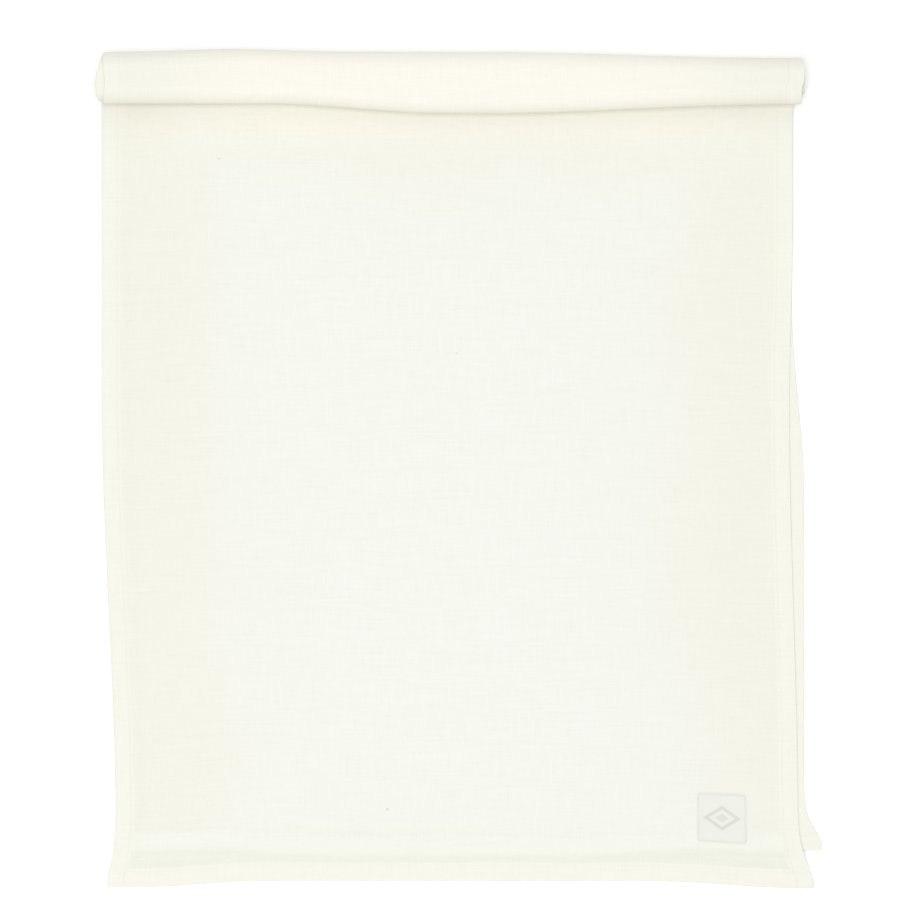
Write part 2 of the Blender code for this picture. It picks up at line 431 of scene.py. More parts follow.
        own = self.own_hem(a, np.full(a.shape, 1.0))
        round_fold = 0.5 + 0.5 * np.clip(q / course.half_fold, -1.0, 1.0)
        lift = course.offset + (MM * (0.95 + 0.35 * own) - course.offset) * round_fold
        to_end = np.where(front, self.front_end - q, q - self.back_end)
        bow = self.bow(x, flat_y, front)
        resting = self.front_height(x, flat_y + bow, a, to_end) - course.stack / 2
        resting = np.where(front, resting, course.offset - 0.06 * MM)
        lift = lift + (resting - lift) * (1.0 - in_roll)
        uneven = np.sin(36 * x + 210 * d + 0.8) * np.sin(17 * x - 90 * d) * rise(end - d, -2, 20)
        lift = lift + np.where(d < end, 0.08 * MM * uneven * rise(d, 12, 40), 0.0)

        return np.stack([x, y + bow + (lift + e) * to_y, z + (lift + e) * to_z], axis=-1)


def add(name: str, data: bpy.types.ID) -> Object:
    """Puts a mesh, a light or a camera into the scene.

    Args:
        name: The object's name.
        data: What it shows.

    Returns:
        The object.
    """
    made = bpy.data.objects.new(name, data)
    bpy.context.scene.collection.objects.link(made)
    return made


@dataclass
class NodeMaker:
    """Builds shader nodes from short calls."""

    tree: NodeTree

    def feed(self, socket: Socket, value: object) -> None:
        """Links an input to another socket, or sets it.

        Args:
            socket: The input.
            value: A socket, a number or a colour.
        """
        if isinstance(value, Socket):
            self.tree.links.new(value, socket)
        else:
            socket.default_value = (*value, 1.0) if isinstance(value, tuple) else value

    def node(self, kind: str, inputs: dict[object, object], **settings: object) -> Node:
        """Adds a node.

        Args:
            kind: Its type.
            inputs: What each of its inputs is fed.
            settings: Its other properties.

        Returns:
            The node.
        """
        made = self.tree.nodes.new(kind)
        for name, value in settings.items():
            setattr(made, name, value)
        for name, value in inputs.items():
            self.feed(made.inputs[name], value)
        return made

    def math(self, operation: str, *values: object, clamp: bool = False) -> Socket:
        """Result of an arithmetic operation on numbers or sockets, kept from 0 to 1 by clamp."""
        given = dict(enumerate(values))
        return self.node("ShaderNodeMath", given, operation=operation, use_clamp=clamp).outputs[0]

    def plus(self, first: object, second: object) -> Socket:
        """Sum of two values."""
        return self.math("ADD", first, second)

    def less(self, first: object, second: object) -> Socket:
        """The first value less the second."""
        return self.math("SUBTRACT", first, second)

    def times(self, first: object, second: object, shift: object = 0.0) -> Socket:
        """Product of two values, plus a third."""
        return self.math("MULTIPLY_ADD", first, second, shift)

    def step(self, value: Socket, low: float, high: float) -> Socket:
        """Smooth step of a value from 0 at low to 1 at high."""
        given = {"Value": value, "From Min": low, "From Max": high}
        return self.node("ShaderNodeMapRange", given, interpolation_type="SMOOTHSTEP").outputs[0]

    def fall(self, value: Socket, low: float, high: float) -> Socket:
        """Smooth step of a value from 1 at low to 0 at high."""
        return self.less(1.0, self.step(value, low, high))

    def noise(
        self, u: object, v: object, scale: float, detail: float = 2.0, rough: float = 0.5, seed: float = 0.0
    ) -> Socket:
        """Noise of two coordinates, from 0 to 1.

        Args:
            u: First coordinate.
            v: Second coordinate.
            scale: Cells of the noise to the unit.
            detail: Octaves.
            rough: How strong each octave is beside the last.
            seed: Third coordinate, so that two noises differ.

        Returns:
            The noise's value.
        """
        place = self.node("ShaderNodeCombineXYZ", {0: u, 1: v, 2: seed}).outputs[0]
        given = {"Scale": scale, "Detail": detail, "Roughness": rough, "Vector": place}
        return self.node("ShaderNodeTexNoise", given).outputs[0]


class GroupMaker(NodeMaker):
    """Builds a shader node group whose first input is the cloth coordinates."""

    def __init__(self, name: str, outputs: tuple[str, ...], **inputs: float) -> None:
        """Makes the group.

        Args:
            name: Its name.
            outputs: Names of its outputs.
            inputs: Its other inputs, with their usual values.
        """
        super().__init__(bpy.data.node_groups.new(name, "ShaderNodeTree"))
        face = self.tree.interface
        face.new_socket(name="Cloth", in_out="INPUT", socket_type="NodeSocketVector")
        for name, value in inputs.items():
            face.new_socket(name=name, in_out="INPUT", socket_type="NodeSocketFloat").default_value = value
        for name in outputs:
            face.new_socket(name=name, in_out="OUTPUT", socket_type="NodeSocketFloat")
        self.given = self.tree.nodes.new("NodeGroupInput").outputs
        self.sink = self.tree.nodes.new("NodeGroupOutput").inputs
        self.a, self.q = self.node("ShaderNodeSeparateXYZ", {0: self.given["Cloth"]}).outputs[:2]

    def out(self, name: str, socket: Socket) -> None:
        """Sends a value to one of the group's outputs."""
        self.feed(self.sink[name], socket)


@dataclass
class Look(NodeMaker):
    """Builds a material's nodes and feeds its shader."""

    shader: Node

    def give(self, name: str, value: object) -> None:
        """Feeds one of the shader's inputs."""
        self.feed(self.shader.inputs[name], value)

    def use(self, group: NodeTree, **values: float) -> Node:
        """Adds a group, with its values by name, and feeds it the cloth coordinates in the UV map."""
        cloth = self.node("ShaderNodeUVMap", {}, uv_map="cloth").outputs[0]
        return self.node("ShaderNodeGroup", {"Cloth": cloth, **values}, node_tree=group)

    def mix(self, amount: object, first: object, second: object, kind: str = "MIX") -> Socket:
        """Mixes two colours by the amount of the second."""
        given = {0: amount, 6: first, 7: second}
        return self.node("ShaderNodeMix", given, data_type="RGBA", blend_type=kind).outputs[2]

    def streak(self, colour: object, tone: Socket, shade: Triple) -> None:
        """Gives the shader a colour, multiplied by a shade where the weave's tone is low."""
        mask = self.mix(tone, shade, (1.0, 1.0, 1.0))
        self.give("Base Color", self.mix(1.0, colour, mask, "MULTIPLY"))

    def bump(self, height: Socket, strength: float, depth: float) -> None:
        """Gives the shader a height from 0 to 1, with the share of it kept and its depth in metres."""
        given = {"Strength": strength, "Distance": depth, "Height": height}
        self.give("Normal", self.node("ShaderNodeBump", given).outputs[0])


@dataclass(frozen=True)
class Finish:
    """A named material and the record's slot that it belongs to."""

    name: str
    slot: str
    colour: Triple
    roughness: float = 0.95

    def start(self) -> tuple[Material, Look]:
        """Makes a material with constants set on its shader.

        Returns:
            The material, and the maker of its nodes.
        """
        made = bpy.data.materials.new(self.name)
        made.use_nodes = True
        made.diffuse_color = (*self.colour, 1.0)
        look = Look(made.node_tree, next(n for n in made.node_tree.nodes if n.type == "BSDF_PRINCIPLED"))
        for name, value in (("Base Color", self.colour), ("Roughness", self.roughness), ("Metallic", 0.0)):
            look.give(name, value)
        return made, look


@dataclass
class Effects:
    """The node groups that more than one material uses."""

    lie: Lie
    flecks: tuple[Triple, ...] = (
        (232 * MM, 410.7 * MM, 0.9 * MM), (179.3 * MM, 711.2 * MM, 1.4 * MM), (76 * MM, 284.7 * MM, 0.8 * MM),
    )

    @cached_property
    def weave(self) -> NodeTree:
        """Plain weave of uneven threads, from cloth coordinates in metres.

        Each thread's coordinate is drawn off line by a slow noise. The height is the product of the
        two thread waves, plus a thickness for each thread, which changes slowly along it. Tone is
        the threads' thickness and a little mottling.
        """
        g = GroupMaker("plain weave", ("Tone", "Height"), Pitch=0.00062, Slub=1.0)
        u, v = (
            g.math("DIVIDE", g.times(g.noise(g.a, g.q, 60.0, seed=seed), 0.0016, straight), g.given["Pitch"])
            for straight, seed in ((g.a, 3.0), (g.q, 7.0))
        )
        along_warp = g.noise(u, g.times(v, 0.03), 0.9, detail=3.0, rough=0.6, seed=1.0)
        along_weft = g.noise(g.times(u, 0.03), v, 0.9, detail=3.0, rough=0.6, seed=5.0)
        slub = g.times(g.less(g.plus(along_warp, along_weft), 1.0), g.given["Slub"])
        wave_u, wave_v = (g.math("SINE", g.times(place, math.pi)) for place in (u, v))
        cross = g.times(g.times(wave_u, wave_v), 0.5, 0.5)
        g.out("Height", g.times(g.times(slub, 1.6, 0.5), 0.9, cross))
        mottle = g.less(g.noise(g.a, g.q, 420.0, detail=4.0, rough=0.65, seed=9.0), 0.5)
        tone = g.plus(g.times(mottle, 0.45, slub), 0.5)
        g.out("Tone", g.math("ADD", g.times(cross, 0.13, -0.065), tone, clamp=True))
        return g.tree

    @cached_property
    def bands(self) -> NodeTree:
        """Masks of places on the cloth, from cloth coordinates in metres.

        Hem is 1 over the cloth's own hems, where painted light makes the doubled cloth paler. Thin is 1
        on the single layer past the end of the back leaf, where painted shade makes it greyer, and Under
        where the back leaf's end hem shows through, as a painted show-through. Row is 1 beside the side
        hems' stitches, for painted shade in the stitch groove. Warm is 1 near the edges and falls off
        inside the leaf, for painted shade as the light falls off towards the edges. Fleck is 1 on the few
        dark specks of flax left in the thread. Thick is 1 on the roll, for painted light on it.
        """
        lie, cloth = self.lie, self.lie.cloth
        g = GroupMaker("edge bands", ("Hem", "Thin", "Under", "Row", "Warm", "Fleck", "Thick"))
        a, q = g.a, g.q
        side = g.math("MINIMUM", a, g.less(cloth.width, a))
        to_front = g.less(lie.front_end + UV_SHIFT, q)
        to_end = g.math("MINIMUM", to_front, g.less(q, lie.back_end + UV_SHIFT))
        waver = g.times(g.less(g.noise(a, q, 26.0, seed=2.0), 0.5), 0.0022)
        edge = g.plus(g.math("MINIMUM", side, to_end), waver)
        # Painted light: the cloth is paler over its own hems, where it lies doubled.
        g.out("Hem", g.fall(edge, cloth.hem_width - 0.0006, cloth.hem_width + 0.0008))
        # Painted shade: the single layer past the back leaf's end is greyer.
        past = g.times(waver, 1.5, to_front)
        gap = g.times(g.step(side, 0.040, 0.150), -0.0068, lie.back_y - lie.front_y)
        past_back = g.less(past, gap)
        beyond_hem = g.step(past, cloth.hem_width - 0.001, cloth.hem_width + 0.002)
        g.out("Thin", g.times(beyond_hem, g.fall(past_back, -0.0015, 0.003)))
        # Painted show-through: the back leaf's end hem seen through the front cloth.
        g.out("Under", g.times(g.step(past_back, -0.004, 0.004), g.fall(past_back, 0.010, 0.015)))
        mouth = g.less(q, lie.course.end_at(lie.mouth_y) + UV_SHIFT)
        # Painted shade: darker and yellower towards the edges, the free end and the roll's mouth, as the light
        # falls off there.
        ends = g.math("MINIMUM", g.plus(to_front, 0.055), g.plus(mouth, 0.045))
        slow = g.times(g.less(g.noise(a, q, 7.0, seed=6.0), 0.5), 0.10)
        g.out("Warm", g.fall(g.plus(g.math("MINIMUM", side, ends), slow), 0.01, 0.15))
        # Painted light: the roll is lighter, most of all away from its ends.
        turn = UV_SHIFT - lie.course.turn[1]
        rolled = g.times(g.step(q, turn - 0.003, turn + 0.003), g.fall(mouth, -0.004, 0.030))
        g.out("Thick", g.times(rolled, g.times(g.step(side, 0.0, 0.11), 0.75, 0.25)))
        fleck: object = 0.0
        ragged = g.times(g.noise(a, q, 900.0, detail=1.0, seed=8.0), 1.6, 0.2)
        for at_a, at_q, reach in self.flecks:
            squares = (g.math("POWER", g.less(*pair), 2.0) for pair in ((a, at_a), (q, at_q + UV_SHIFT)))
            near = g.times(g.math("SQRT", g.plus(*squares)), ragged)
            fleck = g.math("MAXIMUM", g.fall(near, reach * 0.4, reach), fleck)
        g.out("Fleck", fleck)
        # Painted shade in the groove that the stitches pull into the cloth.
        off = g.math("ABSOLUTE", g.less(side, cloth.hem_width - cloth.stitch_inset))
        g.out("Row", g.fall(off, 0.0002, 0.0010))
        return g.tree


@dataclass(frozen=True)
class LinenFinish(Finish):
    """Undyed ivory linen: mottled threads, with painted light and shade: paler hems, greyer where the cloth
    lies single, a lighter roll, darker towards the edges, and shade along the stitch lines.
    """

    # Painted light: paler over the doubled hems.
    hem: Triple = (0.851, 0.843, 0.768)
    # Painted shade: greyer where the cloth lies single.
    thin: Triple = (0.800, 0.813, 0.727)
    # Painted show-through of the back leaf's end hem.
    under: Triple = (0.839, 0.850, 0.777)
    # Painted shade towards the edges, where the light falls off.
    warm: Triple = (0.828, 0.820, 0.739)
    # Painted light on the roll.
    thick: Triple = (0.885, 0.866, 0.785)
    fleck: Triple = (0.55, 0.54, 0.47)
    # Painted shade in the stitch groove.
    row: Triple = (0.78, 0.78, 0.71)
    shade: Triple = (0.925, 0.93, 0.915)
    banded: bool = True

    def make(self, effects: Effects) -> Material:
        """Makes the material.

        Args:
            effects: The shared groups, of which it uses the weave and the edge bands.

        Returns:
            The material.
        """
        made, look = self.start()
        weave = look.use(effects.weave)
        colour: object = self.colour
        if self.banded:
            bands = look.use(effects.bands)
            # Painted light and shade laid over the linen's colour; only the flax flecks are the cloth's own.
            for mask, strength, tint in (
                ("Warm", 1.0, self.warm), ("Thick", 1.0, self.thick), ("Under", 1.0, self.under),
                ("Thin", 1.0, self.thin), ("Hem", 1.0, self.hem), ("Fleck", 0.5, self.fleck),
                ("Row", 0.35, self.row),
            ):
                colour = look.mix(look.times(bands.outputs[mask], strength), colour, tint)
        look.streak(colour, weave.outputs["Tone"], self.shade)
        look.give("Roughness", look.times(weave.outputs["Tone"], -0.12, 0.98))
        look.give("Specular IOR Level", 0.06)
        look.bump(weave.outputs["Height"], 0.45, 0.00013)
        return made


@dataclass(frozen=True)
class ThreadFinish(Finish):
    """Spun sewing thread, whose fibres are the weave's own pattern at a finer pitch."""

    twist: float = 0.00032

    def make(self, effects: Effects) -> Material:
        """Makes the material.

        Args:
            effects: The shared groups, of which it uses the weave.

        Returns:
            The material.
        """
        made, look = self.start()
        weave = look.use(effects.weave, Pitch=self.twist, Slub=0.4)
        dark = tuple(0.86 * c for c in self.colour)
        look.give("Base Color", look.mix(weave.outputs["Tone"], dark, self.colour))
        look.give("Sheen Weight", 0.1)
        look.bump(weave.outputs["Height"], 0.4, 0.00006)
        return made


@dataclass(frozen=True)
class LabelFinish(Finish):
    """Close-woven label with a plain lozenge outline in a darker grey thread."""

    mark: Triple = (0.655, 0.669, 0.623)
    size: float = 33 * MM
    middle: tuple[float, float] = (0.0, 0.0)

    def motif(self) -> NodeTree:
        """Mask of the lozenge outline with a smaller lozenge in it, and of the label's woven edge.

        The lozenge's distance is the sum of the two distances from the label's middle, each over the
        lozenge's half size. The outline is 1 where that is near 1.
        """
        g = GroupMaker("label motif", ("Mark", "Edge"))
        u = g.math("ABSOLUTE", g.less(g.a, self.middle[0]))
        v = g.math("ABSOLUTE", g.less(g.q, self.middle[1] + UV_SHIFT))
        fray = g.times(g.less(g.noise(g.a, g.q, 900.0, seed=4.0), 0.5), 0.16)
        far = g.plus(g.plus(g.math("DIVIDE", u, 0.0106), g.math("DIVIDE", v, 0.0070)), fray)
        ring = g.fall(g.math("ABSOLUTE", g.less(far, 1.0)), 0.08, 0.26)
        g.out("Mark", g.math("MAXIMUM", ring, g.times(g.fall(far, 0.34, 0.50), 0.75)))
        g.out("Edge", g.step(g.math("MAXIMUM", u, v), self.size / 2 - 0.0022, self.size / 2 - 0.0012))
        return g.tree

    def make(self, effects: Effects) -> Material:
        """Makes the material.

        Args:
            effects: The shared groups, of which it uses the weave.

        Returns:
            The material.
        """
        made, look = self.start()
        weave = look.use(effects.weave, Pitch=0.00034, Slub=0.5)
        motif = look.use(self.motif())
        colour: object = self.colour
        for mask, strength in (("Mark", 1.0), ("Edge", 0.25)):
            colour = look.mix(look.times(motif.outputs[mask], strength), colour, self.mark)
        look.streak(colour, weave.outputs["Tone"], (0.94, 0.94, 0.93))
        look.give("Sheen Weight", 0.05)
        look.bump(weave.outputs["Height"], 0.3, 0.00008)
        return made


def quads(rows: int, columns: int, first: int = 0, wrap: bool = False) -> Array:
    """Faces of a grid of points, each by its four neighbours.

    Args:
        rows: Rows of points.
        columns: Points in each row.
        first: Index of the grid's first point.
        wrap: True where each row closes on itself.

    Returns:
        One row of four indices for each face.
    """
    across = np.arange(columns if wrap else columns - 1)
    i, j = np.meshgrid(np.arange(rows - 1), across, indexing="ij")
    k = (j + 1) % columns
    corners = (i * columns + j, i * columns + k, (i + 1) * columns + k, (i + 1) * columns + j)
    return first + np.stack(corners, axis=-1).reshape(-1, 4)


def turned(points: Array, faces: Array) -> bool:
    """Whether a closed mesh of quads has its normals inwards: its signed volume is below 0.

    Args:
        points: Its points.
        faces: Its faces, by four indices.

    Returns:
        True where they point inwards.
    """
    p = points[faces]
    first = np.einsum("ij,ij->i", p[:, 0], np.cross(p[:, 1], p[:, 2]))
    second = np.einsum("ij,ij->i", p[:, 0], np.cross(p[:, 2], p[:, 3]))
    return float((first + second).sum()) < 0.0


def with_shift(a: Array, q: Array) -> Array:
    """UV coordinates of points: the two cloth coordinates, the second one shifted to be positive."""
    return np.stack([a, q + UV_SHIFT], axis=-1)


def make_piece(
    name: str, points: Array, uv: Array, faces: list[list[int]], look: Material, angle: float = 40.0
) -> Object:
    """A smooth-shaded mesh at the origin, with its cloth coordinates as a UV map.

    Args:
        name: The piece's name.
        points: Its points in the model's frame.
        uv: Cloth coordinates of each point.
        faces: Its faces, by indices.
        look: Its material.
        angle: Edges sharper than this many degrees stay sharp.

    Returns:
        The object.
    """
    mesh = bpy.data.meshes.new(name)
    mesh.from_pydata(points.reshape(-1, 3).tolist(), [], faces)
    layer = mesh.uv_layers.new(name="cloth")
    corner = np.empty(len(mesh.loops), dtype=np.int64)
    mesh.loops.foreach_get("vertex_index", corner)
    layer.data.foreach_set("uv", uv.reshape(-1, 2)[corner].astype(np.float32).ravel())
    mesh.validate()
    mesh.update()
    mesh.shade_smooth()
    mesh.set_sharp_from_angle(angle=math.radians(angle))
    mesh.materials.append(look)
    log.info("%s: %d points, %d faces", name, len(mesh.vertices), len(mesh.polygons))
    return add(name, mesh)


def make_plate(name: str, top: Array, under: Array, uv: Array, look: Material) -> Object:
    """A closed sheet: two grids of points that face each other, and walls round their rims.

    Args:
        name: The piece's name.
        top: Points of the outer face, by row and column.
        under: Points of the inner face.
        uv: Cloth coordinates of either face's points.
        look: Its material.

    Returns:
        The object.
    """
    rows, columns, size = *top.shape[:2], top.shape[0] * top.shape[1]
    rim = np.concatenate([
        np.arange(columns), np.arange(1, rows) * columns + columns - 1,
        (rows - 1) * columns + np.arange(columns - 2, -1, -1), np.arange(rows - 2, 0, -1) * columns,
    ])
    follow = np.roll(rim, -1)
    walls = np.stack([follow, rim, rim + size, follow + size], axis=-1)
    faces = np.concatenate([quads(rows, columns), quads(rows, columns, size)[:, ::-1], walls])
    points = np.stack([top, under])
    if turned(points.reshape(-1, 3), faces):
        faces = faces[:, ::-1]
    return make_piece(name, points, np.stack([uv, uv]), faces.tolist(), look)


@dataclass(frozen=True)
class Bend:
    """How a piece follows the motion: it rides one body, or, where a second body is given, is kept in place."""

    body: str
    other: str = ""
    start: Triple = (0.0, 0.0, 0.0)
    stop: Triple = (0.0, 0.0, 0.0)

    def apply(self, piece: Object, slot: str, nodes: Iterable[str]) -> None:
        """Hides the nodes that a finished piece stands for, and ties the piece to its body.

        Args:
            piece: The piece, which is tied to this bend's body, or kept in place where the bend has a second
                body.
            slot: Its material's slot; not used.
            nodes: The nodes that it stands for.
        """
        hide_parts(*nodes)
        if self.other:
            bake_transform(piece)
        else:
            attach(piece, self.body)


@dataclass(frozen=True)
class Stretch:
    """One length of the cloth that is a piece of its own, with its hems and stitches."""

    name: str
    start: float
    stop: float
    bend: Bend
    nodes: tuple[str, ...]
    free_start: bool = False
    free_stop: bool = False
    coarse: float = 5 * MM

    def rows(self, spots: list[Triple], trim: float) -> Array:
        """Stations along the stretch.

        Args:
            spots: Where they crowd together.
            trim: How far they are drawn back from a free end.

        Returns:
            The stations.
        """
        low = self.start + (trim if self.free_start else 0.0)
        high = self.stop - (trim if self.free_stop else 0.0)
        return graded(low, high, self.coarse, spots)


@dataclass
class Runner:
    """The runner's cloth in four stretches: back leaf, front leaf, inner turn and roll."""

    lie: Lie
    hinge_y: float
    effects: Effects
    linen: LinenFinish = LinenFinish("ivory linen", "linen", (0.837, 0.848, 0.802), 0.92)
    # The hems' own pieces take the same paler tone, painted light for the doubled cloth.
    hem_linen: LinenFinish = LinenFinish(
        "hem linen", "linen_hem", (0.851, 0.843, 0.768), 0.92, banded=False
    )

    @cached_property
    def stretches(self) -> list[Stretch]:
        """The four stretches, each with the bodies that its bend names and the nodes that it stands for."""
        begin, end = self.lie.course.turn
        turn = Bend("back_leaf", "roll", (0.0, 0.0, 0.0032), (0.0, 0.0, 0.0165))
        lift = Bend("back_leaf", "front_leaf", (0.0, self.hinge_y, 0.003), (0.0, self.hinge_y - 0.012, 0.003))
        return [
            Stretch("back_leaf", self.lie.back_end, -begin, turn, ("back_leaf", "back_turn"), free_start=True),
            Stretch("front_leaf", end, self.lie.front_end, lift, ("front_leaf", "under_roll"), free_stop=True),
            Stretch("inner_turn", begin, end, turn, ("front_turn",), coarse=0.9 * MM),
            Stretch("roll", -begin, begin, Bend("roll"), ("roll",), coarse=1.4 * MM),
        ]

    def spots(self) -> list[Triple]:
        """Where rows crowd together: the turns, the folds, the hinge, the free ends and the joins."""
        begin, end = self.lie.course.turn
        mouth = end + self.lie.course.axis_y - self.hinge_y
        bent = [(-(begin + end) / 2, (end - begin) / 2, 0.9 * MM), (0.0, 45 * MM, 0.7 * MM)]
        bent += [(mouth + 2 * MM, 16 * MM, 1.3 * MM)]
        bent += [(self.lie.back_end, 34 * MM, 1.3 * MM), (self.lie.front_end, 40 * MM, 1.3 * MM)]
        return bent + [(sign * place, 0.5 * MM, 0.12 * MM) for sign in (-1, 1) for place in (begin, end)]

    def slab(self, stretch: Stretch, look: Material) -> Object:
        """One stretch of cloth: two faces half the thickness either side of its middle, and rims.

        Args:
            stretch: The stretch.
            look: Its material.

        Returns:
            The piece.
        """
        c = self.lie.cloth
        across, along = c.columns(), stretch.rows(self.spots(), c.nose)
        a, q = np.meshgrid(across, along)
        top, under = (self.lie.place(a, q, height) for height in (c.face, -c.face))
        return make_plate(f"{stretch.name}_linen", top, under, with_shift(a, q), look)

    def build(self) -> dict[str, Object]:
        """Builds the four stretches of cloth.

        Returns:
            The pieces, by their stretches' names.
        """
        look = self.linen.make(self.effects)
        made = {}
        for stretch in self.stretches:
            made[stretch.name] = self.slab(stretch, look)
            stretch.bend.apply(made[stretch.name], self.linen.slot, (f"{node}_cloth" for node in stretch.nodes))
        return made


@dataclass
class Hems:
    """The folded hems behind the cloth's edges, with a rounded outer fold and inner fold."""

    runner: Runner
    fold_steps: int = 8

    def section(self) -> Pair:
        """Closed section of a hem: distance from the edge, and height.

        Round the outer fold on a half ellipse from the cloth's face to the hem's free face, in along
        that face, round the inner fold on a half circle, and back out against the cloth.

        Returns:
            The distances and the heights.
        """
        c = self.runner.lie.cloth
        high, middle = (c.face - c.hem_low) / 2, (c.face + c.hem_low) / 2
        t = np.linspace(math.pi / 2, 3 * math.pi / 2, 2 * self.fold_steps + 1)
        outer = np.stack([c.nose * (1 + np.cos(t)), middle + high * np.sin(t)])
        r = c.hem_thickness / 2
        t = np.linspace(-math.pi / 2, math.pi / 2, self.fold_steps + 1)
        inner = np.stack([c.hem_width - r + r * np.cos(t), c.hem_low + r + r * np.sin(t)])
        flat = np.linspace(0, 1, 9)[1:-1]
        inwards = c.nose + (c.hem_width - r - c.nose) * flat
        low = np.stack([inwards, np.full_like(flat, c.hem_low)])
        back = np.stack([inwards[::-1], np.full_like(flat, c.hem_high)])
        close = np.array([[c.nose - 0.01 * MM], [c.hem_high]])
        section = np.concatenate([outer, low, inner, back, close], axis=1)
        return section[0], section[1]

    def swept(self, name: str, a: Array, q: Array, e: Array, look: Material) -> Object:
        """Closes a grid of sections into one solid with flat ends.

        Args:
            name: The piece's name.
            a: Coordinates across, a row for each section.
            q: Coordinates along.
            e: Heights over the middle of the cloth.
            look: Its material.

        Returns:
            The piece.
        """
        rows, columns = a.shape
        points = self.runner.lie.place(a, q, e).reshape(-1, 3)
        sides = quads(rows, columns, wrap=True)
        way = -1 if turned(points, sides) else 1
        caps = [list(range(columns))[::-way], list(range((rows - 1) * columns, rows * columns))[::way]]
        return make_piece(name, points, with_shift(a, q), sides[:, ::way].tolist() + caps, look, 50.0)

    def side(self, stretch: Stretch, side: Side, look: Material) -> Object:
        """One side hem along a stretch: the section carried along the cloth.

        Args:
            stretch: The stretch.
            side: Its left or its right edge.
            look: The hem's material.

        Returns:
            The piece.
        """
        c = self.runner.lie.cloth
        u, e = self.section()
        along = stretch.rows(self.runner.spots(), c.hem_width - 0.3 * MM)
        across = u if side is Side.LEFT else c.width - u
        a, q = np.meshgrid(across, along)
        return self.swept(f"{stretch.name}_{side.value}_hem", a, q, np.broadcast_to(e, a.shape), look)

    def end(self, leaf: Leaf, look: Material) -> Object:
        """A free end's hem: the section carried across the cloth, and rounded shut at its ends.

        Near either end the section's height and its outer fold shrink as a quarter circle does.

        Args:
            leaf: The leaf whose free end it is.
            look: The hem's material.

        Returns:
            The piece.
        """
        lie, c = self.runner.lie, self.runner.lie.cloth
        u, e = self.section()
        near = c.nose * (1.0 - np.cos(np.linspace(0.0, math.pi / 2, 7)))[:-1]
        inner = graded(c.nose, c.width - c.nose, 5 * MM, [(s, 24 * MM, 1.3 * MM) for s in (0.0, c.width)])
        across = np.concatenate([near, inner, c.width - near[::-1]])
        gap = np.clip(1.0 - np.minimum(across, c.width - across) / c.nose, 0.0, 0.998)
        shrink = np.sqrt(1.0 - gap**2)[:, None]
        middle = (c.face + c.hem_low) / 2
        height = middle + (e - middle) * shrink
        inwards = np.where(u < c.nose, c.nose - (c.nose - u) * shrink, u)
        q = lie.inset(leaf, inwards)
        a = np.broadcast_to(across[:, None], q.shape)
        return self.swept(f"{leaf.word}_end_hem", a, q, height, look)

    def build(self) -> dict[str, list[Object]]:
        """Builds the side hems of every stretch and the hem of each free end.

        Returns:
            The hems of each stretch, by its name.
        """
        look, slot = self.runner.hem_linen.make(self.runner.effects), self.runner.hem_linen.slot
        made: dict[str, list[Object]] = {}
        for stretch in self.runner.stretches:
            made[stretch.name] = []
            for side in Side:
                piece = self.side(stretch, side, look)
                stretch.bend.apply(piece, slot, (f"{node}_hem_{side.value}" for node in stretch.nodes))
                made[stretch.name].append(piece)
        for leaf in Leaf:
            piece = self.end(leaf, look)
            Bend(leaf.body).apply(piece, slot, [f"{leaf.body}_hem_end"])
            made[leaf.body].append(piece)
        return made


